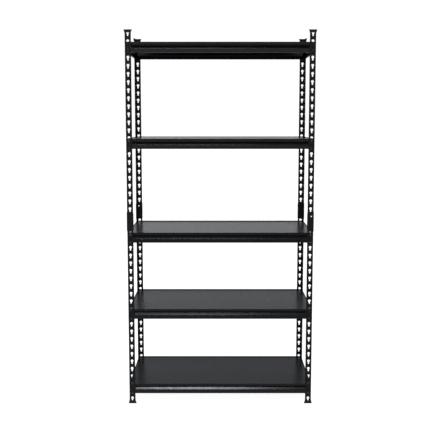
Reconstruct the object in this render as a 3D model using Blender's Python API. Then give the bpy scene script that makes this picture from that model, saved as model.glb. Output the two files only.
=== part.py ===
"""Boltless steel shelving: five loose boards on riveted beams that hook into keyhole posts.

Metres, +Z up. The origin is the centre of the footprint on the floor and the front faces -Y.
Posts, sleeves, feet and caps are drawn once in a corner frame: the outer corner of the post is at
the origin and its two flanges run along +X and +Y. Turning that frame by quarter turns gives the
four corners. Beams are drawn with their outer face towards -Y and turned the same way.
"""
import math

import bmesh
import bpy
from mathutils import Matrix, Vector

# Driving dimensions of the rack
WIDTH = 0.906
DEPTH = 0.400
PITCH = 0.0381
KEYHOLES = 48
FLANGE = 0.030
STEEL = 0.0012
GAP = 0.0003

# Posts: two halves joined end to end, standing on the plates of their feet
FOOT_PLATE = 0.0020
POST_HEIGHT = KEYHOLES * PITCH
POST_BOTTOM = FOOT_PLATE
POST_TOP = POST_BOTTOM + POST_HEIGHT
POST_JOINT = POST_BOTTOM + POST_HEIGHT / 2
HEIGHT = POST_TOP + FOOT_PLATE

# Keyholes: a round head that lets a rivet in and a narrower slot that holds it
KEYHOLE_HEIGHT = 0.0226
KEYHOLE_HEAD_RADIUS = 0.0063
KEYHOLE_SLOT_WIDTH = 0.0066
KEYHOLE_TOP_MARGIN = 0.0062

# Beams: one folded sheet with a lip, a ledge for the board, a slope and a web
BEAM_HEIGHT = 0.050
LIP_HEIGHT = 0.0108
LEDGE_DEPTH = 0.012
SLOPE_TOP = 0.0155
SLOPE_BOTTOM = 0.0305
BOTTOM_FOLD = 0.010
BEAM_DROP = 0.0106
SHELF_KEYHOLES = (2, 14, 26, 36, 46)

# Rivets: fixed in the beam ends, neck through the keyhole slot and head outside the flange
RIVET_SIDES = 6
RIVET_NECK_RADIUS = 0.0028
RIVET_HEAD_RADIUS = 0.0048
RIVET_HEAD_THICKNESS = 0.0018
RIVET_NECK_LENGTH = STEEL + 2 * GAP

# Splice sleeves: a folded sheet round the outside of the joint, hemmed over the flange edges
SLEEVE_HEIGHT = 0.082
SLEEVE_PEAK = 0.007
SLEEVE_SHOULDER = 0.008
SLEEVE_HEM = 0.006
SLEEVE_HOLE_RADIUS = 0.0029
SLEEVE_HOLE_INSET = 0.0114

# Feet and caps: one moulding, an angle-shaped block with a socket for the post end
MOULDING_HEIGHT = 0.014
MOULDING_FLARE_OUT = 0.0039
MOULDING_FLARE_IN = 0.0048
MOULDING_WALL = 0.0010

# Boards: loose rectangles between the beam lips, with their tops a little below the lips
BOARD_THICKNESS = 0.0064
BOARD_CLEARANCE = 0.0010

CORNERS = {
    "front_left": (-1, -1, 0),
    "front_right": (1, -1, 1),
    "rear_right": (1, 1, 2),
    "rear_left": (-1, 1, 3),
}
SIDES = {"front": 0, "right": 1, "rear": 2, "left": 3}
FLIP_OVER = Matrix.Rotation(math.pi, 4, Vector((1, 1, 0)))


def clear_scene():
    for item in list(bpy.data.objects):
        bpy.data.objects.remove(item)


def make_material(name, colour, roughness, metallic):
    """A plain Principled finish for one family of sub-parts."""
    material = bpy.data.materials.new(name)
    material.use_nodes = True
    shader = material.node_tree.nodes["Principled BSDF"]
    shader.inputs["Base Color"].default_value = (*colour, 1.0)
    shader.inputs["Roughness"].default_value = roughness
    shader.inputs["Metallic"].default_value = metallic
    return material


def finish_mesh(name, form):
    """Turn a bmesh into a closed mesh with outward faces and smooth round pieces."""
    bmesh.ops.recalc_face_normals(form, faces=form.faces)
    mesh = bpy.data.meshes.new(name)
    form.to_mesh(mesh)
    form.free()
    mesh.shade_smooth()
    mesh.set_sharp_from_angle(angle=math.radians(40))
    return mesh


def add_prism(form, outline, travel):
    """Extrude a closed outline of points along a vector, inside an existing bmesh."""
    face = form.faces.new([form.verts.new(point) for point in outline])
    raised = bmesh.ops.extrude_face_region(form, geom=[face])
    top = [part for part in raised["geom"] if isinstance(part, bmesh.types.BMVert)]
    bmesh.ops.translate(form, verts=top, vec=travel)


def add_loft(form, rings):
    """Skin rings that have the same number of points, and close both ends."""
    loops = [[form.verts.new(point) for point in ring] for ring in rings]
    count = len(loops[0])
    for low, high in zip(loops, loops[1:]):
        for start in range(count):
            end = (start + 1) % count
            form.faces.new((low[start], low[end], high[end], high[start]))
    form.faces.new(loops[0])
    form.faces.new(loops[-1])


def combine(mesh, tool_mesh, operation):
    """Unite a tool with a mesh, or cut it away, and return the resulting mesh."""
    piece = bpy.data.objects.new("piece", mesh)
    tool = bpy.data.objects.new("tool", tool_mesh)
    for item in (piece, tool):
        bpy.context.scene.collection.objects.link(item)
    boolean = piece.modifiers.new("shape", "BOOLEAN")
    boolean.operation = operation
    boolean.object = tool
    graph = bpy.context.evaluated_depsgraph_get()
    result = bpy.data.meshes.new_from_object(piece.evaluated_get(graph))
    for item in (piece, tool):
        bpy.data.objects.remove(item)
    return result


def place(name, mesh, material, location, turn, flip=Matrix.Identity(4)):
    """Put a mesh in the rack, turned by a number of quarter turns about +Z."""
    if not mesh.materials:
        mesh.materials.append(material)
    item = bpy.data.objects.new(name, mesh)
    bpy.context.scene.collection.objects.link(item)
    item.matrix_world = Matrix.Translation(location) @ Matrix.Rotation(turn * math.pi / 2, 4, "Z") @ flip
    return item


def place_at_corners(stem, mesh, material, height, flip=Matrix.Identity(4)):
    for corner, (side_x, side_y, turn) in CORNERS.items():
        location = (side_x * WIDTH / 2, side_y * DEPTH / 2, height)
        place(f"{stem}_{corner}", mesh, material, location, turn, flip)


def angle_outline(outside, inside, past, height):
    """Outline of an angle section that grows past the post's faces by the given amounts."""
    near = -outside
    far = FLANGE + past
    inner = STEEL + inside
    corners = ((near, near), (far, near), (far, inner), (inner, inner), (inner, far), (near, far))
    return [Vector((x, y, height)) for x, y in corners]


def keyhole_outline(head_top):
    """Outline of one keyhole as pairs of distance from its centre line and height."""
    centre = head_top - KEYHOLE_HEAD_RADIUS
    slot_end = head_top - KEYHOLE_HEIGHT
    half_slot = KEYHOLE_SLOT_WIDTH / 2
    shoulder = KEYHOLE_HEAD_RADIUS / 2
    return (
        (-half_slot, slot_end),
        (half_slot, slot_end),
        (KEYHOLE_HEAD_RADIUS, centre),
        (shoulder, head_top),
        (-shoulder, head_top),
        (-KEYHOLE_HEAD_RADIUS, centre),
    )


def half_post_mesh():
    """One half of a post, standing on its lower end, with a column of keyholes in each flange."""
    length = POST_HEIGHT / 2 - GAP
    form = bmesh.new()
    add_prism(form, angle_outline(0, 0, 0, 0), Vector((0, 0, length)))
    steel = finish_mesh("half_post", form)

    cutters = bmesh.new()
    reach = 2 * STEEL
    for index in range(KEYHOLES // 2):
        head_top = POST_HEIGHT / 2 - KEYHOLE_TOP_MARGIN - index * PITCH
        outline = keyhole_outline(head_top)
        along_x = [Vector((FLANGE / 2 + offset, -reach / 2, height)) for offset, height in outline]
        along_y = [Vector((-reach / 2, FLANGE / 2 + offset, height)) for offset, height in outline]
        add_prism(cutters, along_x, Vector((0, 2 * reach, 0)))
        add_prism(cutters, along_y, Vector((2 * reach, 0, 0)))
    return combine(steel, finish_mesh("keyholes", cutters), "DIFFERENCE")


def sleeve_end(point):
    """Half height of the sleeve at a point of its section: it peaks at the fold line."""
    along_flange = max(point) + GAP + STEEL
    return SLEEVE_HEIGHT / 2 + SLEEVE_PEAK * max(0, 1 - along_flange / SLEEVE_SHOULDER)


def sleeve_mesh():
    """The folded sheet that wraps the joint of two half posts and hooks round their edges."""
    face = -GAP
    outer = face - STEEL
    edge = FLANGE + GAP
    behind = STEEL + GAP
    shoulder = outer + SLEEVE_SHOULDER
    hem = FLANGE - SLEEVE_HEM
    edge_outer = edge + STEEL
    behind_outer = behind + STEEL
    outside = ((shoulder, outer), (edge_outer, outer), (edge_outer, behind_outer), (hem, behind_outer))
    inside = ((shoulder, face), (edge, face), (edge, behind), (hem, behind))
    form = bmesh.new()
    rows = []
    for corner, half in ((outer, outside), (face, inside)):
        other_half = [(y, x) for x, y in reversed(half)]
        path = [*other_half, (corner, corner), *half]
        for side in (-1, 1):
            rows.append([form.verts.new((*point, side * sleeve_end(point))) for point in path])
    outer_low, outer_high, inner_low, inner_high = rows
    around = (outer_low, outer_high, inner_high, inner_low, outer_low)
    for first, second in zip(around, around[1:]):
        for start in range(len(first) - 1):
            form.faces.new((first[start], first[start + 1], second[start + 1], second[start]))
    for end in (0, -1):
        form.faces.new([row[end] for row in around[:-1]])
    sheet = finish_mesh("sleeve", form)

    upper_head = PITCH - KEYHOLE_TOP_MARGIN - KEYHOLE_HEAD_RADIUS
    centre = Vector((outer, SLEEVE_HOLE_INSET, upper_head))
    drill = bmesh.new()
    bmesh.ops.create_cone(
        drill,
        cap_ends=True,
        segments=8,
        radius1=SLEEVE_HOLE_RADIUS,
        radius2=SLEEVE_HOLE_RADIUS,
        depth=3 * STEEL,
        matrix=Matrix.Translation(centre) @ Matrix.Rotation(math.pi / 2, 4, "Y"),
    )
    return combine(sheet, finish_mesh("sleeve_hole", drill), "DIFFERENCE")


def moulding_mesh():
    """The foot: a flared angle-shaped block with a socket that the post end drops into."""
    wall = MOULDING_WALL + GAP
    middle = (MOULDING_FLARE_OUT + wall) / 2
    rings = (
        angle_outline(MOULDING_FLARE_OUT, MOULDING_FLARE_IN, MOULDING_FLARE_IN, 0),
        angle_outline(MOULDING_FLARE_OUT, MOULDING_FLARE_IN, MOULDING_FLARE_IN, FOOT_PLATE),
        angle_outline(middle, wall, wall, MOULDING_HEIGHT / 2),
        angle_outline(wall, wall, wall, MOULDING_HEIGHT),
        angle_outline(GAP, GAP, GAP, MOULDING_HEIGHT),
        angle_outline(GAP, GAP, GAP, FOOT_PLATE - GAP),
    )
    form = bmesh.new()
    add_loft(form, rings)
    return finish_mesh("end_moulding", form)


def beam_profile():
    """Folded sheet as pairs of distance inwards and height below the beam's top edge."""
    outer = (
        (0, 0),
        (0, -LIP_HEIGHT),
        (LEDGE_DEPTH, -LIP_HEIGHT),
        (LEDGE_DEPTH, -SLOPE_TOP),
        (0, -SLOPE_BOTTOM),
        (0, -BEAM_HEIGHT),
        (BOTTOM_FOLD, -BEAM_HEIGHT),
    )
    inner = [Vector(outer[0]) + Vector((STEEL, 0))]
    for before, here, after in zip(outer, outer[1:], outer[2:]):
        arriving = (Vector(here) - Vector(before)).normalized()
        leaving = (Vector(after) - Vector(here)).normalized()
        normal_in = Vector((-arriving.y, arriving.x))
        normal_out = Vector((-leaving.y, leaving.x))
        mitre = (normal_in + normal_out).normalized()
        inner.append(Vector(here) + mitre * STEEL / mitre.dot(normal_in))
    inner.append(Vector(outer[-1]) + Vector((0, STEEL)))
    return [Vector(point) for point in outer] + inner[::-1]


def beam_mesh(length):
    """A mitred beam with two rivets at each end, its outer face at Y = 0 and its top at Z = 0."""
    profile = beam_profile()
    form = bmesh.new()
    rings = []
    for end in (-1, 1):
        half = length / 2 - GAP
        rings.append([Vector((end * (half - inwards), inwards, height)) for inwards, height in profile])
    add_loft(form, rings)
    sheet = finish_mesh("beam_sheet", form)

    rivets = bmesh.new()
    first = (BEAM_HEIGHT - PITCH) / 2
    across = length / 2 + STEEL + GAP - FLANGE / 2
    # Radii and distances out of the beam face, from inside the sheet to the top of the head
    turned = (
        (RIVET_NECK_RADIUS, STEEL / 2),
        (RIVET_NECK_RADIUS, -RIVET_NECK_LENGTH),
        (RIVET_HEAD_RADIUS, -RIVET_NECK_LENGTH),
        (RIVET_HEAD_RADIUS * 0.6, -RIVET_NECK_LENGTH - RIVET_HEAD_THICKNESS),
    )
    turns = [Matrix.Rotation(2 * math.pi * side / RIVET_SIDES, 3, "Y") for side in range(RIVET_SIDES)]
    for end in (-1, 1):
        for drop in (first, first + PITCH):
            centre = Vector((end * across, 0, -drop))
            rings = []
            for radius, distance in turned:
                rings.append([centre + turn @ Vector((radius, distance, 0)) for turn in turns])
            add_loft(rivets, rings)
    return combine(sheet, finish_mesh("rivets", rivets), "UNION")


def board_mesh():
    """A plain rectangular board with a small chamfer round its top edge."""
    inset = 2 * STEEL + GAP + BOARD_CLEARANCE
    half_x = WIDTH / 2 - inset
    half_y = DEPTH / 2 - inset
    form = bmesh.new()
    bmesh.ops.create_cube(
        form,
        size=1.0,
        matrix=Matrix.Diagonal((2 * half_x, 2 * half_y, BOARD_THICKNESS, 1)),
    )
    top_edges = [edge for edge in form.edges if all(vert.co.z > 0 for vert in edge.verts)]
    bmesh.ops.bevel(form, geom=top_edges, offset=STEEL / 2, segments=1, affect="EDGES")
    return finish_mesh("board", form)


def build_posts(steel):
    half = half_post_mesh()
    place_at_corners("post_lower", half, steel, POST_BOTTOM)
    place_at_corners("post_upper", half, steel, POST_JOINT)


def build_sleeves(steel):
    place_at_corners("splice_sleeve", sleeve_mesh(), steel, POST_JOINT)


def build_feet_and_caps(plastic):
    moulding = moulding_mesh()
    place_at_corners("foot", moulding, plastic, 0)
    place_at_corners("top_cap", moulding, plastic, HEIGHT, FLIP_OVER)


def shelf_top(keyhole):
    """Height of a beam's top edge when its upper rivet sits in the given keyhole."""
    head_top = POST_TOP - KEYHOLE_TOP_MARGIN - (keyhole - 1) * PITCH
    return head_top - BEAM_DROP


def build_shelf(level, keyhole, beams, steel, board, laminate):
    top = shelf_top(keyhole)
    inset = STEEL + GAP
    faces = {
        "front": (0, -DEPTH / 2 + inset),
        "right": (WIDTH / 2 - inset, 0),
        "rear": (0, DEPTH / 2 - inset),
        "left": (-WIDTH / 2 + inset, 0),
    }
    for side, turn in SIDES.items():
        place(f"beam_{side}_{level}", beams[turn % 2], steel, (*faces[side], top), turn)
    ledge_top = top - LIP_HEIGHT + STEEL
    middle = ledge_top + GAP + BOARD_THICKNESS / 2
    place(f"board_{level}", board, laminate, (0, 0, middle), 0)


def build_shelves(steel, laminate):
    inset = STEEL + GAP
    beams = (beam_mesh(WIDTH - 2 * inset), beam_mesh(DEPTH - 2 * inset))
    board = board_mesh()
    for level, keyhole in enumerate(SHELF_KEYHOLES, start=1):
        build_shelf(level, keyhole, beams, steel, board, laminate)


def build_rack():
    clear_scene()
    post_steel = make_material("post_powder_coat", (0.012, 0.013, 0.015), 0.42, 0.0)
    sleeve_steel = make_material("sleeve_powder_coat", (0.013, 0.014, 0.016), 0.45, 0.0)
    beam_steel = make_material("beam_powder_coat", (0.013, 0.014, 0.016), 0.36, 0.0)
    laminate = make_material("board_laminate", (0.020, 0.020, 0.021), 0.38, 0.0)
    plastic = make_material("end_moulding_plastic", (0.010, 0.010, 0.011), 0.50, 0.0)
    build_posts(post_steel)
    build_sleeves(sleeve_steel)
    build_feet_and_caps(plastic)
    build_shelves(beam_steel, laminate)


build_rack()
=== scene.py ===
"""Looks of the boltless steel shelving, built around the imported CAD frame.

Every visible piece stands for one CAD node and lies inside it. Posts, sleeves, feet and caps are
drawn once in a corner frame (outer corner of the post at the origin, flanges along +X and +Y) and
turned by quarter turns. Beams are drawn facing -Y with their top edge at Z = 0 and turned the same.
"""

import math

import bmesh
import bpy
from mathutils import Matrix, Vector


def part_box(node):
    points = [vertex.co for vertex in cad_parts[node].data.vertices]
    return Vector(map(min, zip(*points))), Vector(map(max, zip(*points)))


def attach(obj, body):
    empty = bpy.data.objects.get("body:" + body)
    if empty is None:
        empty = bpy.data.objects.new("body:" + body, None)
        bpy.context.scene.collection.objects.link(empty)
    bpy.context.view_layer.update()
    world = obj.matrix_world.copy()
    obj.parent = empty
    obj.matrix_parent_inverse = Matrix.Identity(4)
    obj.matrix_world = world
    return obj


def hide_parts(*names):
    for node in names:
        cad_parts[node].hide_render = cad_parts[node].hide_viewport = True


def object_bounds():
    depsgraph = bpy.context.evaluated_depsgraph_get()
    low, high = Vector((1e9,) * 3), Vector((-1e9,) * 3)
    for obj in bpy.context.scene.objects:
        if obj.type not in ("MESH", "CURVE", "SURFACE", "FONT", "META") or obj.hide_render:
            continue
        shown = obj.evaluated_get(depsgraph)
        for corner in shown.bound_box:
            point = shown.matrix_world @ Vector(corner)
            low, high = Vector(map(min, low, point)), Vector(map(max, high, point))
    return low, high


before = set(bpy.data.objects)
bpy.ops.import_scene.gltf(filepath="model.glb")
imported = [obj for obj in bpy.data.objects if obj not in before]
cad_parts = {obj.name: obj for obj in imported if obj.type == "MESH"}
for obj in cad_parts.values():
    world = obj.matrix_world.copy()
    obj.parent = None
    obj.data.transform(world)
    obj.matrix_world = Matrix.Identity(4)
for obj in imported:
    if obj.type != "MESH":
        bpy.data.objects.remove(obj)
cad_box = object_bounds()

MM = 0.001
CORNERS = ("front_left", "front_right", "rear_right", "rear_left")
SIDES = ("front", "right", "rear", "left")
LEVELS = 5

# Sizes read from the frame
POST_LOW, POST_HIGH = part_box("post_lower_front_left")
FAR_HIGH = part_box("post_lower_rear_right")[1]
WIDTH = FAR_HIGH.x - POST_LOW.x
DEPTH = FAR_HIGH.y - POST_LOW.y
FLANGE = POST_HIGH.x - POST_LOW.x
HALF_POST = POST_HIGH.z - POST_LOW.z
POST_BOTTOM = POST_LOW.z
POST_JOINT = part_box("post_upper_front_left")[0].z
HEIGHT = cad_box[1].z

# Sizes of the sheet metal, as in the CAD model
STEEL = 1.2 * MM
GAP = 0.3 * MM
PITCH = 38.1 * MM
KEYHOLES = 24
POST_INSET = STEEL + GAP

# How far the hard edges of each kind of piece are rounded
STEEL_EDGE = 0.22 * MM
BEAM_EDGE = 0.2 * MM
MOULDING_EDGE = 0.45 * MM
BOARD_EDGE = 0.5 * MM


# ---------------------------------------------------------------- mesh tools

def new_mesh(name, form, smooth_angle=35):
    """Store a bmesh as a mesh with outward faces, smooth where it is round."""
    bmesh.ops.recalc_face_normals(form, faces=form.faces)
    mesh = bpy.data.meshes.new(name)
    form.to_mesh(mesh)
    form.free()
    mesh.shade_smooth()
    mesh.set_sharp_from_angle(angle=math.radians(smooth_angle))
    return mesh


def loft(form, rings):
    """Skin rings with equal numbers of points and close both ends; returns the new faces."""
    loops = [[form.verts.new(point) for point in ring] for ring in rings]
    count = len(loops[0])
    faces = []
    for low, high in zip(loops, loops[1:]):
        for start in range(count):
            end = (start + 1) % count
            faces.append(form.faces.new((low[start], low[end], high[end], high[start])))
    faces.append(form.faces.new(loops[0]))
    faces.append(form.faces.new(loops[-1]))
    return faces


def arc(centre, radius, start, end, steps):
    """Points along an arc in a plane, angles in degrees, both ends included."""
    points = []
    for step in range(steps + 1):
        angle = math.radians(start + (end - start) * step / steps)
        x = centre[0] + radius * math.cos(angle)
        y = centre[1] + radius * math.sin(angle)
        points.append(Vector((x, y)))
    return points


def offset_path(path, distance):
    """Shift an open 2D path sideways to its left, keeping its corners sharp."""
    shifted = []
    for index, here in enumerate(path):
        before = path[max(index - 1, 0)]
        after = path[min(index + 1, len(path) - 1)]
        arriving = (here - before) if index > 0 else (after - here)
        leaving = (after - here) if index < len(path) - 1 else (here - before)
        normal_in = Vector((-arriving.y, arriving.x)).normalized()
        normal_out = Vector((-leaving.y, leaving.x)).normalized()
        mitre = (normal_in + normal_out).normalized()
        shifted.append(here + mitre * (distance / mitre.dot(normal_in)))
    return shifted


def fillet_path(path, radii, steps=5):
    """Round the inner corners of an open 2D path; a corner with no radius stays as it is."""
    rounded = [path[0]]
    for before, here, after, radius in zip(path, path[1:], path[2:], radii):
        if not radius:
            rounded.append(here)
            continue
        back = (before - here).normalized()
        ahead = (after - here).normalized()
        opening = back.angle(ahead)
        reach = radius / math.tan(opening / 2)
        first = here + back * reach
        last = here + ahead * reach
        centre = here + (back + ahead).normalized() * (radius / math.sin(opening / 2))
        for step in range(steps + 1):
            share = step / steps
            spoke = (first - centre).slerp(last - centre, share)
            rounded.append(centre + spoke * radius)
    rounded.append(path[-1])
    return rounded


def sheet_outline(centre_path, thickness):
    """Closed outline of a bent sheet whose middle follows an open path."""
    left = offset_path(centre_path, thickness / 2)
    right = offset_path(centre_path, -thickness / 2)
    return left + right[::-1]


def soften(item, width, segments=2, angle=50):
    """Round the hard edges of a piece and keep its flat faces flat in the shading."""
    bevel = item.modifiers.new("edges", "BEVEL")
    bevel.width = width
    bevel.segments = segments
    bevel.limit_method = "ANGLE"
    bevel.angle_limit = math.radians(angle)
    bevel.miter_outer = "MITER_ARC"
    weighted = item.modifiers.new("shading", "WEIGHTED_NORMAL")
    weighted.keep_sharp = True


def place(name, mesh, node, body, location, turn, flip=Matrix.Identity(4)):
    """Put a mesh where its CAD node is and tie it to that node's body."""
    item = bpy.data.objects.new(name, mesh)
    bpy.context.scene.collection.objects.link(item)
    quarter_turns = Matrix.Rotation(turn * math.pi / 2, 4, "Z")
    item.matrix_world = Matrix.Translation(location) @ quarter_turns @ flip
    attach(item, body)
    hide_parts(node)
    return item


def corner_location(corner, height):
    side_x = -1 if corner.endswith("left") else 1
    side_y = -1 if corner.startswith("front") else 1
    return Vector((side_x * WIDTH / 2, side_y * DEPTH / 2, height))


# ---------------------------------------------------------------- materials

# Surface curvature where an edge starts to turn lighter, and where it is fully lighter; the lighter edges
# are partly rubbed wear and partly a painted highlight
COAT_WEAR_AND_HIGHLIGHT = (0.57, 0.66)
PLASTIC_WEAR_AND_HIGHLIGHT = (0.52, 0.62)
FLOOR_GLOW = 0.93


def link(tree, source, output, target, socket):
    tree.links.new(source.outputs[output], target.inputs[socket])


def start_material(name):
    material = bpy.data.materials.new(name)
    material.use_nodes = True
    tree = material.node_tree
    shader = tree.nodes["Principled BSDF"]
    where = tree.nodes.new("ShaderNodeTexCoord")
    return material, tree, shader, where


def add_noise(tree, where, scale, detail, stretch=(1, 1, 1)):
    """Noise in the piece's own space, in features per metre, stretched per axis."""
    mapping = tree.nodes.new("ShaderNodeMapping")
    mapping.inputs["Scale"].default_value = stretch
    link(tree, where, "Object", mapping, "Vector")
    noise = tree.nodes.new("ShaderNodeTexNoise")
    noise.inputs["Scale"].default_value = scale
    noise.inputs["Detail"].default_value = detail
    link(tree, mapping, "Vector", noise, "Vector")
    return noise


def remap(tree, source, output, low, high, to_low, to_high):
    """Stretch a value's range from low..high onto to_low..to_high."""
    node = tree.nodes.new("ShaderNodeMapRange")
    node.inputs["From Min"].default_value = low
    node.inputs["From Max"].default_value = high
    node.inputs["To Min"].default_value = to_low
    node.inputs["To Max"].default_value = to_high
    link(tree, source, output, node, "Value")
    return node


def multiply(tree, first, first_output, second, second_output):
    node = tree.nodes.new("ShaderNodeMath")
    node.operation = "MULTIPLY"
    link(tree, first, first_output, node, 0)
    link(tree, second, second_output, node, 1)
    return node


def mix_colours(tree, share, share_output, dark, light):
    node = tree.nodes.new("ShaderNodeMix")
    node.data_type = "RGBA"
    node.inputs["A"].default_value = (*dark, 1)
    node.inputs["B"].default_value = (*light, 1)
    link(tree, share, share_output, node, "Factor")
    return node


def add_bump(tree, shader, layers):
    """Chain bump layers of (node, output, strength, height in metres) into the shader's normal."""
    previous = None
    for source, output, strength, height in layers:
        bump = tree.nodes.new("ShaderNodeBump")
        bump.inputs["Strength"].default_value = strength
        bump.inputs["Distance"].default_value = height
        link(tree, source, output, bump, "Height")
        if previous:
            link(tree, previous, "Normal", bump, "Normal")
        previous = bump
    link(tree, previous, "Normal", shader, "Normal")


def powder_coat(name, dark, light, edge_wear_and_highlight, roughness, peel, ior):
    """Black powder coat: orange peel, uneven gloss, mottled tone, and lighter edges that are partly
    rubbed wear and partly a painted highlight.
    """
    material, tree, shader, where = start_material(name)
    mottle = add_noise(tree, where, 11, 4)
    tone = mix_colours(tree, remap(tree, mottle, "Fac", 0.35, 0.65, 0, 1), "Result", dark, light)
    # Painted highlight mixed with wear: convex edges, found by curvature and broken up by scuff noise,
    # are tinted a lighter grey.
    edges = remap(tree, tree.nodes.new("ShaderNodeNewGeometry"), "Pointiness", *COAT_WEAR_AND_HIGHLIGHT, 0, 1)
    scuffs = remap(tree, add_noise(tree, where, 160, 3), "Fac", 0.45, 0.62, 0, 1)
    edge_wear_and_highlight_mask = multiply(tree, edges, "Result", scuffs, "Result")
    tone_with_edge_wear_and_highlight = tree.nodes.new("ShaderNodeMix")
    tone_with_edge_wear_and_highlight.data_type = "RGBA"
    tone_with_edge_wear_and_highlight.inputs["B"].default_value = (*edge_wear_and_highlight, 1)
    link(tree, edge_wear_and_highlight_mask, "Value", tone_with_edge_wear_and_highlight, "Factor")
    link(tree, tone, "Result", tone_with_edge_wear_and_highlight, "A")
    link(tree, tone_with_edge_wear_and_highlight, "Result", shader, "Base Color")
    gloss = remap(tree, add_noise(tree, where, 34, 5), "Fac", 0.3, 0.7, *roughness)
    link(tree, gloss, "Result", shader, "Roughness")
    shader.inputs["IOR"].default_value = ior
    peel_noise = add_noise(tree, where, 900, 2)
    waves = add_noise(tree, where, 30, 1)
    add_bump(tree, shader, [(waves, "Fac", 0.06, 0.15 * MM), (peel_noise, "Fac", peel, 0.04 * MM)])
    return material


def laminate():
    """Dark laminate: a fine pebbled press texture, faint handling marks and uneven satin gloss."""
    material, tree, shader, where = start_material("board_laminate")
    mottle = add_noise(tree, where, 7, 5)
    tone = mix_colours(
        tree,
        remap(tree, mottle, "Fac", 0.3, 0.7, 0, 1),
        "Result",
        (0.0150, 0.0155, 0.0170),
        (0.0200, 0.0205, 0.0220),
    )
    link(tree, tone, "Result", shader, "Base Color")
    marks = add_noise(tree, where, 14, 6, (1.5, 1, 1))
    gloss = remap(tree, marks, "Fac", 0.3, 0.7, 0.27, 0.30)
    link(tree, gloss, "Result", shader, "Roughness")
    shader.inputs["IOR"].default_value = 1.47
    pebble = tree.nodes.new("ShaderNodeTexVoronoi")
    pebble.feature = "SMOOTH_F1"
    pebble.inputs["Scale"].default_value = 700
    link(tree, where, "Object", pebble, "Vector")
    add_bump(tree, shader, [(pebble, "Distance", 0.03, 0.05 * MM)])
    return material


def board_edge():
    """The sawn edge of the board under black paint: short pressed fibres, dull."""
    material, tree, shader, where = start_material("board_edge")
    fibres = add_noise(tree, where, 420, 5, (1, 1, 3))
    tone = mix_colours(
        tree,
        remap(tree, fibres, "Fac", 0.35, 0.65, 0, 1),
        "Result",
        (0.012, 0.011, 0.011),
        (0.032, 0.028, 0.026),
    )
    link(tree, tone, "Result", shader, "Base Color")
    link(tree, remap(tree, fibres, "Fac", 0.3, 0.7, 0.7, 0.9), "Result", shader, "Roughness")
    add_bump(tree, shader, [(fibres, "Fac", 0.5, 0.25 * MM)])
    return material


def moulded_plastic():
    """Matt black moulding with a spark-eroded grain and lighter edges that are partly rubbed wear and
    partly a painted highlight.
    """
    material, tree, shader, where = start_material("end_plastic")
    cloud = add_noise(tree, where, 60, 4)
    # Painted highlight mixed with wear: convex edges, found by curvature, are lightened together with the
    # random cloud.
    edges = remap(tree, tree.nodes.new("ShaderNodeNewGeometry"), "Pointiness", *PLASTIC_WEAR_AND_HIGHLIGHT, 0, 0.7)
    both = tree.nodes.new("ShaderNodeMath")
    both.operation = "ADD"
    both.use_clamp = True
    link(tree, edges, "Result", both, 0)
    link(tree, remap(tree, cloud, "Fac", 0.4, 0.7, 0, 0.3), "Result", both, 1)
    tone = mix_colours(tree, both, "Value", (0.007, 0.007, 0.008), (0.022, 0.022, 0.023))
    link(tree, tone, "Result", shader, "Base Color")
    link(tree, remap(tree, cloud, "Fac", 0.3, 0.7, 0.46, 0.60), "Result", shader, "Roughness")
    grain = add_noise(tree, where, 2400, 2)
    add_bump(tree, shader, [(grain, "Fac", 0.35, 0.06 * MM)])
    return material


def stage_floor():
    """Plain white studio floor."""
    material, _, shader, _ = start_material("studio_floor")
    shader.inputs["Base Color"].default_value = (0.80, 0.80, 0.80, 1)
    shader.inputs["Roughness"].default_value = 0.9
    shader.inputs["Emission Color"].default_value = (1, 1, 1, 1)
    shader.inputs["Emission Strength"].default_value = FLOOR_GLOW
    return material


# ---------------------------------------------------------------- posts

POST_BEND = 2.2 * MM
BEND_STEPS = 6
KEYHOLE_HEIGHT = 22.6 * MM
KEYHOLE_HEAD = 6.3 * MM
KEYHOLE_SLOT_TOP = 3.5 * MM
KEYHOLE_SLOT_END = 3.1 * MM
KEYHOLE_HEAD_STEPS = 22
KEYHOLE_SLOT_STEPS = 10
KEYHOLE_TOP_MARGIN = 6.2 * MM
TOP_KEYHOLE = HALF_POST + GAP - KEYHOLE_TOP_MARGIN


def keyhole(middle, head_top):
    """Outline of a keyhole on the flat strip: a round head running into a narrow slot."""
    centre = (middle, head_top - KEYHOLE_HEAD)
    shoulder = math.degrees(math.asin(KEYHOLE_SLOT_TOP / KEYHOLE_HEAD))
    slot_centre = (middle, head_top - KEYHOLE_HEIGHT + KEYHOLE_SLOT_END)
    head = arc(centre, KEYHOLE_HEAD, shoulder - 90, 270 - shoulder, KEYHOLE_HEAD_STEPS)
    slot = arc(slot_centre, KEYHOLE_SLOT_END, 180, 360, KEYHOLE_SLOT_STEPS)
    return head + slot


def fold_strip(point, depth):
    """Map a point on the flat strip (along it from the bend, up it) onto the angle, below its skin."""
    along, height = point
    half_bend = POST_BEND * math.pi / 4
    if abs(along) >= half_bend:
        reach = POST_BEND + abs(along) - half_bend
        return Vector((depth, reach, height)) if along > 0 else Vector((reach, depth, height))
    angle = math.radians(225) - along / POST_BEND
    radius = POST_BEND - depth
    x = POST_BEND + radius * math.cos(angle)
    y = POST_BEND + radius * math.sin(angle)
    return Vector((x, y, height))


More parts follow.
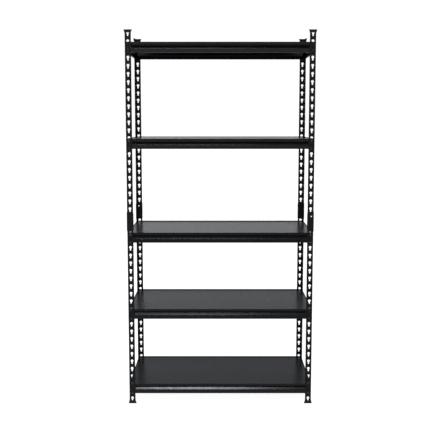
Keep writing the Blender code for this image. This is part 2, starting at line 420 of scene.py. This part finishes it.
def punched_strip():
    """The flat strip of a half post, as a mesh in the plane, with both columns of keyholes."""
    half_bend = POST_BEND * math.pi / 4
    edge = half_bend + FLANGE - POST_BEND
    flat = bmesh.new()
    bend_lines = []
    for step in range(BEND_STEPS + 1):
        along = half_bend * (2 * step / BEND_STEPS - 1)
        bend_lines.append([flat.verts.new((along, height, 0)) for height in (0, HALF_POST)])
    for left, right in zip(bend_lines, bend_lines[1:]):
        flat.faces.new((left[0], right[0], right[1], left[1]))
    for side, inner in ((-1, bend_lines[0]), (1, bend_lines[-1])):
        outer = [flat.verts.new((side * edge, height, 0)) for height in (0, HALF_POST)]
        rim = [(inner[0], outer[0]), (outer[0], outer[1]), (outer[1], inner[1])]
        edges = [flat.edges.new(pair) for pair in rim]
        edges.append(flat.edges.get(inner))
        middle = side * (edge - FLANGE / 2)
        for index in range(KEYHOLES):
            head_top = TOP_KEYHOLE - index * PITCH
            ring = [flat.verts.new((point.x, point.y, 0)) for point in keyhole(middle, head_top)]
            edges += [flat.edges.new(pair) for pair in zip(ring, ring[1:] + ring[:1])]
        bmesh.ops.triangle_fill(flat, edges=edges, use_beauty=True)
    return flat


def half_post_mesh(material):
    """Fold the punched strip into an angle with its real thickness."""
    flat = punched_strip()
    flat.verts.index_update()
    folded = bmesh.new()
    skins = []
    for depth in (0, STEEL):
        skins.append([folded.verts.new(fold_strip((vert.co.x, vert.co.y), depth)) for vert in flat.verts])
    for face in flat.faces:
        ring = [vert.index for vert in face.verts]
        folded.faces.new([skins[0][index] for index in ring])
        folded.faces.new([skins[1][index] for index in reversed(ring)])
    for edge in flat.edges:
        if len(edge.link_faces) == 1:
            first, last = (vert.index for vert in edge.verts)
            folded.faces.new((skins[0][first], skins[0][last], skins[1][last], skins[1][first]))
    flat.free()
    mesh = new_mesh("half_post", folded)
    mesh.materials.append(material)
    return mesh


def build_posts():
    coat = powder_coat(
        "post_powder_coat",
        dark=(0.0065, 0.0070, 0.0085),
        light=(0.0100, 0.0106, 0.0126),
        edge_wear_and_highlight=(0.085, 0.087, 0.092),
        roughness=(0.34, 0.46),
        peel=0.20,
        ior=1.42,
    )
    mesh = half_post_mesh(coat)
    for turn, corner in enumerate(CORNERS):
        for half, height in (("lower", POST_BOTTOM), ("upper", POST_JOINT)):
            node = f"post_{half}_{corner}"
            location = corner_location(corner, height)
            item = place(f"{node}_angle", mesh, node, "frame", location, turn)
            soften(item, STEEL_EDGE)


# ---------------------------------------------------------------- splice sleeves

SLEEVE_LOW, SLEEVE_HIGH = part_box("splice_sleeve_front_left")
SLEEVE_PEAK = 7 * MM
SLEEVE_SHOULDER = 8 * MM
SLEEVE_HEM = 6 * MM
SLEEVE_FOLD = 1.2 * MM
SLEEVE_HOLE = 2.9 * MM
SLEEVE_HOLE_INSET = 11.4 * MM


def sleeve_path():
    """Middle line of the sleeve's sheet in the corner frame, from one hem round to the other."""
    face = -GAP - STEEL / 2
    edge = FLANGE + GAP + STEEL / 2
    behind = STEEL + GAP + STEEL / 2
    hem = FLANGE - SLEEVE_HEM
    along_y = [(behind, hem), (behind, edge), (face, edge), (face, SLEEVE_SHOULDER)]
    along_x = [(y, x) for x, y in reversed(along_y)]
    path = [Vector(point) for point in (*along_y, (face, face), *along_x)]
    radii = (SLEEVE_FOLD, SLEEVE_FOLD, 0, SLEEVE_FOLD, 0, SLEEVE_FOLD, SLEEVE_FOLD)
    return fillet_path(path, radii)


def sleeve_end(point):
    """Half height of the sleeve at a point of its section: it peaks at the fold line."""
    half = (SLEEVE_HIGH.z - SLEEVE_LOW.z) / 2 - SLEEVE_PEAK
    along_flange = max(point) + GAP + STEEL
    return half + SLEEVE_PEAK * max(0, 1 - along_flange / SLEEVE_SHOULDER)


def sleeve_mesh(material):
    middle = sleeve_path()
    form = bmesh.new()
    rows = []
    for shift in (-STEEL / 2, STEEL / 2):
        skin = offset_path(middle, shift)
        for side in (-1, 1):
            rows.append([form.verts.new((*point, side * sleeve_end(point))) for point in skin])
    outer_low, outer_high, inner_low, inner_high = rows
    around = (outer_low, outer_high, inner_high, inner_low, outer_low)
    for first, second in zip(around, around[1:]):
        for start in range(len(first) - 1):
            form.faces.new((first[start], first[start + 1], second[start + 1], second[start]))
    for end in (0, -1):
        form.faces.new([row[end] for row in around[:-1]])
    mesh = new_mesh("splice_sleeve", form)
    mesh.materials.append(material)
    return mesh


def sleeve_drill():
    """The tool that makes the sleeve's hole; it is not a piece."""
    height = PITCH - KEYHOLE_TOP_MARGIN - KEYHOLE_HEAD
    centred = Matrix.Translation((-STEEL, SLEEVE_HOLE_INSET, height))
    form = bmesh.new()
    bmesh.ops.create_cone(
        form,
        cap_ends=True,
        segments=28,
        radius1=SLEEVE_HOLE,
        radius2=SLEEVE_HOLE,
        depth=3 * STEEL,
        matrix=centred @ Matrix.Rotation(math.pi / 2, 4, "Y"),
    )
    return new_mesh("sleeve_drill", form)


def cut(mesh, tool_mesh):
    """Cut a tool out of a mesh and return the result."""
    piece = bpy.data.objects.new("cut_piece", mesh)
    tool = bpy.data.objects.new("cut_tool", tool_mesh)
    for item in (piece, tool):
        bpy.context.scene.collection.objects.link(item)
    boolean = piece.modifiers.new("cut", "BOOLEAN")
    boolean.object = tool
    graph = bpy.context.evaluated_depsgraph_get()
    result = bpy.data.meshes.new_from_object(piece.evaluated_get(graph))
    for item in (piece, tool):
        bpy.data.objects.remove(item)
    return result


def build_sleeves():
    coat = powder_coat(
        "sleeve_powder_coat",
        dark=(0.0068, 0.0073, 0.0088),
        light=(0.0104, 0.0110, 0.0130),
        edge_wear_and_highlight=(0.080, 0.082, 0.087),
        roughness=(0.38, 0.50),
        peel=0.22,
        ior=1.42,
    )
    mesh = cut(sleeve_mesh(coat), sleeve_drill())
    for turn, corner in enumerate(CORNERS):
        node = f"splice_sleeve_{corner}"
        location = corner_location(corner, (SLEEVE_LOW.z + SLEEVE_HIGH.z) / 2)
        item = place(f"{node}_sheet", mesh, node, "frame", location, turn)
        soften(item, STEEL_EDGE)


# ---------------------------------------------------------------- feet and caps

FOOT_LOW, FOOT_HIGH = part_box("foot_front_left")
MOULDING_HEIGHT = FOOT_HIGH.z - FOOT_LOW.z
MOULDING_FLARE_OUT = POST_LOW.x - FOOT_LOW.x
MOULDING_FLARE_IN = FOOT_HIGH.x - POST_HIGH.x
MOULDING_WALL = 1.3 * MM
PLATE = 2 * MM
FLARE_STEPS = 6
FLARE_OUT_POWER = 1.3
FLARE_IN_POWER = 3
FLIP_OVER = Matrix.Rotation(math.pi, 4, Vector((1, 1, 0)))


def angle_ring(outside, inside, past, height):
    """Outline of an angle that grows past the post's faces by the given amounts."""
    near = -outside
    far = FLANGE + past
    inner = STEEL + inside
    corners = ((near, near), (far, near), (far, inner), (inner, inner), (inner, far), (near, far))
    return [Vector((x, y, height)) for x, y in corners]


def moulding_mesh(material):
    """A flared block with a socket for the post end, standing on its plate."""
    form = bmesh.new()
    rings = [angle_ring(MOULDING_FLARE_OUT, MOULDING_FLARE_IN, MOULDING_FLARE_IN, 0)]
    for step in range(FLARE_STEPS + 1):
        share = step / FLARE_STEPS
        height = PLATE + (MOULDING_HEIGHT - PLATE) * share
        outside = MOULDING_WALL + (MOULDING_FLARE_OUT - MOULDING_WALL) * (1 - share) ** FLARE_OUT_POWER
        inside = MOULDING_WALL + (MOULDING_FLARE_IN - MOULDING_WALL) * (1 - share) ** FLARE_IN_POWER
        rings.append(angle_ring(outside, inside, inside, height))
    rings.append(angle_ring(GAP, GAP, GAP, MOULDING_HEIGHT))
    rings.append(angle_ring(GAP, GAP, GAP, PLATE - GAP))
    loft(form, rings)
    mesh = new_mesh("end_moulding", form)
    mesh.materials.append(material)
    return mesh


def build_feet_and_caps():
    mesh = moulding_mesh(moulded_plastic())
    for turn, corner in enumerate(CORNERS):
        for stem, height, flip in (("foot", 0, Matrix.Identity(4)), ("top_cap", HEIGHT, FLIP_OVER)):
            node = f"{stem}_{corner}"
            where = corner_location(corner, height)
            item = place(f"{node}_moulding", mesh, node, "frame", where, turn, flip)
            soften(item, MOULDING_EDGE, segments=3, angle=35)


# ---------------------------------------------------------------- beams and rivets

BOARD_LOW, BOARD_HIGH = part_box("board_1")
BEAM_LOW, BEAM_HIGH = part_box("beam_front_1")
BEAM_HEIGHT = BEAM_HIGH.z - BEAM_LOW.z
LIP_HEIGHT = BEAM_HIGH.z - BOARD_LOW.z + STEEL + GAP
LEDGE_DEPTH = 12 * MM
SLOPE_TOP = 15.5 * MM
SLOPE_BOTTOM = 30.5 * MM
BOTTOM_FOLD = 10 * MM
FOLD_RADIUS = 1.5 * MM
SLOPE_RADIUS = 5.0 * MM

RIVET_NECK = 2.8 * MM
RIVET_HEAD = 4.8 * MM
RIVET_PROUD = STEEL + 2 * GAP + 1.8 * MM
RIVET_SIDES = 32
RIVET_UNDERCUT = 0.15 * MM
RIVET_RIM_SHARE = 0.94
RIVET_TIP_SHARE = 0.02
DOME_START = 8
DOME_SWEEP = 76
DOME_STEPS = 6


def beam_outline():
    """Closed section of the folded sheet: distance inwards and height below the top edge."""
    outer = [
        Vector((0, 0)),
        Vector((0, -LIP_HEIGHT)),
        Vector((LEDGE_DEPTH, -LIP_HEIGHT)),
        Vector((LEDGE_DEPTH, -SLOPE_TOP)),
        Vector((0, -SLOPE_BOTTOM)),
        Vector((0, -BEAM_HEIGHT)),
        Vector((BOTTOM_FOLD, -BEAM_HEIGHT)),
    ]
    middle = offset_path(outer, STEEL / 2)
    radii = (FOLD_RADIUS, FOLD_RADIUS, FOLD_RADIUS, SLOPE_RADIUS, FOLD_RADIUS)
    return sheet_outline(fillet_path(middle, radii, steps=7), STEEL)


def rivet_rings(across, drop):
    """Rings of a rivet from inside the sheet, along its neck and over its domed head."""
    under_head = -(STEEL + 2 * GAP) + RIVET_UNDERCUT
    rim = RIVET_HEAD * RIVET_RIM_SHARE
    profile = [(RIVET_NECK, STEEL / 2), (RIVET_NECK, under_head), (rim, under_head)]
    dome_height = RIVET_PROUD + under_head
    for step in range(DOME_STEPS + 1):
        angle = math.radians(DOME_START + DOME_SWEEP * step / DOME_STEPS)
        profile.append((RIVET_HEAD * math.cos(angle), under_head - dome_height * math.sin(angle)))
    profile.append((RIVET_HEAD * RIVET_TIP_SHARE, -RIVET_PROUD))
    rings = []
    for radius, distance in profile:
        ring = []
        for side in range(RIVET_SIDES):
            angle = 2 * math.pi * side / RIVET_SIDES
            x = across + radius * math.cos(angle)
            z = radius * math.sin(angle) - drop
            ring.append(Vector((x, distance, z)))
        rings.append(ring)
    return rings


def beam_mesh(name, length, coat, rivet_coat):
    """A mitred beam with two rivets at each end."""
    outline = beam_outline()
    form = bmesh.new()
    half = length / 2 - GAP
    rings = []
    for end in (-1, 1):
        rings.append([Vector((end * (half - point.x), point.x, point.y)) for point in outline])
    loft(form, rings)
    first = (BEAM_HEIGHT - PITCH) / 2
    across = length / 2 + POST_INSET - FLANGE / 2
    for end in (-1, 1):
        for drop in (first, first + PITCH):
            for face in loft(form, rivet_rings(end * across, drop)):
                face.material_index = 1
    mesh = new_mesh(name, form)
    mesh.materials.append(coat)
    mesh.materials.append(rivet_coat)
    return mesh


def build_beams():
    coat = powder_coat(
        "beam_powder_coat",
        dark=(0.0062, 0.0067, 0.0080),
        light=(0.0092, 0.0098, 0.0115),
        edge_wear_and_highlight=(0.080, 0.082, 0.087),
        roughness=(0.21, 0.25),
        peel=0.06,
        ior=1.5,
    )
    rivet_coat = powder_coat(
        "rivet_coat",
        dark=(0.014, 0.015, 0.017),
        light=(0.022, 0.023, 0.026),
        edge_wear_and_highlight=(0.100, 0.102, 0.107),
        roughness=(0.22, 0.34),
        peel=0.10,
        ior=1.5,
    )
    long_mesh = beam_mesh("long_beam", WIDTH - 2 * POST_INSET, coat, rivet_coat)
    short_mesh = beam_mesh("short_beam", DEPTH - 2 * POST_INSET, coat, rivet_coat)
    faces = {
        "front": Vector((0, -DEPTH / 2 + POST_INSET, 0)),
        "right": Vector((WIDTH / 2 - POST_INSET, 0, 0)),
        "rear": Vector((0, DEPTH / 2 - POST_INSET, 0)),
        "left": Vector((-WIDTH / 2 + POST_INSET, 0, 0)),
    }
    for level in range(1, LEVELS + 1):
        for turn, side in enumerate(SIDES):
            node = f"beam_{side}_{level}"
            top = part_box(node)[1].z
            mesh = short_mesh if turn % 2 else long_mesh
            location = faces[side] + Vector((0, 0, top))
            item = place(f"{node}_sheet", mesh, node, "frame", location, turn)
            soften(item, BEAM_EDGE)


# ---------------------------------------------------------------- boards

def board_mesh(face_material, edge_material):
    size = BOARD_HIGH - BOARD_LOW
    form = bmesh.new()
    bmesh.ops.create_cube(form, size=1.0, matrix=Matrix.Diagonal((*size, 1)))
    for face in form.faces:
        face.normal_update()
        face.material_index = 0 if abs(face.normal.z) > 0.5 else 1
    mesh = new_mesh("board", form)
    mesh.materials.append(face_material)
    mesh.materials.append(edge_material)
    return mesh


def build_boards():
    mesh = board_mesh(laminate(), board_edge())
    for level in range(1, LEVELS + 1):
        node = f"board_{level}"
        low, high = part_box(node)
        item = place(f"{node}_panel", mesh, node, node, (low + high) / 2, 0)
        soften(item, BOARD_EDGE, segments=3)


# ---------------------------------------------------------------- studio

# Brightness of the room by elevation in degrees, and how it falls off to the front and the right
ROOM_LEVELS = (
    (-90, 1.00),
    (-28, 0.90),
    (-15, 0.60),
    (-9, 0.20),
    (-1, 0.14),
    (0, 3.20),
    (2, 2.50),
    (5, 0.86),
    (10, 0.50),
    (16, 0.35),
    (22, 0.23),
    (40, 0.16),
    (90, 0.14),
)
FRONT_LEVEL = 0.45
SIDE_FALL = 0.5
DIM_TINT = Vector((0.90, 0.96, 1.10))
BRIGHT_TINT = Vector((1.01, 1.00, 0.98))

# The softbox hangs high in front of the rack; its face has the given radiance
KEY_PLACE = Vector((-0.34, -3.70, 5.00))
KEY_AIM = Vector((-0.10, -0.20, 0.10))
KEY_LENGTH = 1.4
KEY_BREADTH = 0.42
KEY_RADIANCE = 11.5
KEY_SPREAD = 120
SUN_STRENGTH = 0.50
SUN_ANGLE = 60
BACKGROUND_WHITE = 1.05

# Camera: distance in front of the posts and height in metres, tilt down in degrees, lens in mm
CAMERA_SIDE = -0.0112
CAMERA_DISTANCE = 3.279
CAMERA_HEIGHT = 1.4164
CAMERA_TILT = 6.0
CAMERA_LENS = 56.31
CAMERA_SHIFT = -0.0647
SENSOR_WIDTH = 36
FLOOR_REACH = 60


def build_camera():
    data = bpy.data.cameras.new("camera")
    data.sensor_width = SENSOR_WIDTH
    data.lens = CAMERA_LENS
    data.shift_y = CAMERA_SHIFT
    camera = bpy.data.objects.new("camera", data)
    bpy.context.scene.collection.objects.link(camera)
    camera.location = (CAMERA_SIDE, -DEPTH / 2 - CAMERA_DISTANCE, CAMERA_HEIGHT)
    camera.rotation_euler = (math.radians(90 - CAMERA_TILT), 0, 0)
    bpy.context.scene.camera = camera


def build_floor():
    form = bmesh.new()
    bmesh.ops.create_grid(form, x_segments=1, y_segments=1, size=FLOOR_REACH)
    mesh = new_mesh("floor", form)
    mesh.materials.append(stage_floor())
    floor = bpy.data.objects.new("floor", mesh)
    bpy.context.scene.collection.objects.link(floor)
    floor.visible_glossy = False
    floor.visible_diffuse = False


def build_softbox():
    """A long rectangular studio light with a honeycomb spread."""
    data = bpy.data.lights.new("key", "AREA")
    data.shape = "RECTANGLE"
    data.size = KEY_LENGTH
    data.size_y = KEY_BREADTH
    data.energy = KEY_RADIANCE * math.pi * KEY_LENGTH * KEY_BREADTH
    data.spread = math.radians(KEY_SPREAD)
    data.color = DIM_TINT
    light = bpy.data.objects.new("key", data)
    bpy.context.scene.collection.objects.link(light)
    light.location = KEY_PLACE
    light.rotation_euler = (KEY_AIM - KEY_PLACE).to_track_quat("-Z", "Y").to_euler()
    light.visible_camera = False


def build_sun():
    """Even light from above that whitens the floor and stays out of reflections."""
    data = bpy.data.lights.new("overhead", "SUN")
    data.energy = SUN_STRENGTH
    data.angle = math.radians(SUN_ANGLE)
    sun = bpy.data.objects.new("overhead", data)
    bpy.context.scene.collection.objects.link(sun)
    sun.location = (0, 0, 4)
    sun.visible_glossy = False


def build_world():
    """White to the eye; for light and reflections a room with a glowing backdrop behind the rack."""
    world = bpy.data.worlds.new("studio")
    bpy.context.scene.world = world
    world.use_nodes = True
    tree = world.node_tree
    tree.nodes.clear()
    where = tree.nodes.new("ShaderNodeTexCoord")
    split = tree.nodes.new("ShaderNodeSeparateXYZ")
    link(tree, where, "Generated", split, "Vector")
    ramp = tree.nodes.new("ShaderNodeValToRGB")
    link(tree, remap(tree, split, "Z", -1, 1, 0, 1), "Result", ramp, "Fac")
    elements = ramp.color_ramp.elements
    for index, (elevation, level) in enumerate(ROOM_LEVELS):
        position = (math.sin(math.radians(elevation)) + 1) / 2
        element = elements[index] if index < 2 else elements.new(position)
        element.position = position
        element.color = (*(DIM_TINT.lerp(BRIGHT_TINT, min(level, 1)) * level), 1)
    behind = remap(tree, split, "Y", -0.6, 0.8, FRONT_LEVEL, 1)
    sideways = remap(tree, split, "X", -1, 1, 1 + SIDE_FALL, 1 - SIDE_FALL)
    dim = tree.nodes.new("ShaderNodeBackground")
    link(tree, ramp, "Color", dim, "Color")
    link(tree, multiply(tree, behind, "Result", sideways, "Result"), "Value", dim, "Strength")
    white = tree.nodes.new("ShaderNodeBackground")
    white.inputs["Color"].default_value = (1, 1, 1, 1)
    white.inputs["Strength"].default_value = BACKGROUND_WHITE
    seen = tree.nodes.new("ShaderNodeLightPath")
    mix = tree.nodes.new("ShaderNodeMixShader")
    link(tree, seen, "Is Camera Ray", mix, 0)
    link(tree, dim, "Background", mix, 1)
    link(tree, white, "Background", mix, 2)
    output = tree.nodes.new("ShaderNodeOutputWorld")
    link(tree, mix, "Shader", output, "Surface")


def build_studio():
    build_camera()
    build_floor()
    build_softbox()
    build_sun()
    build_world()
    bpy.context.scene.view_settings.view_transform = "Standard"


build_studio()
build_posts()
build_sleeves()
build_feet_and_caps()
build_beams()
build_boards()
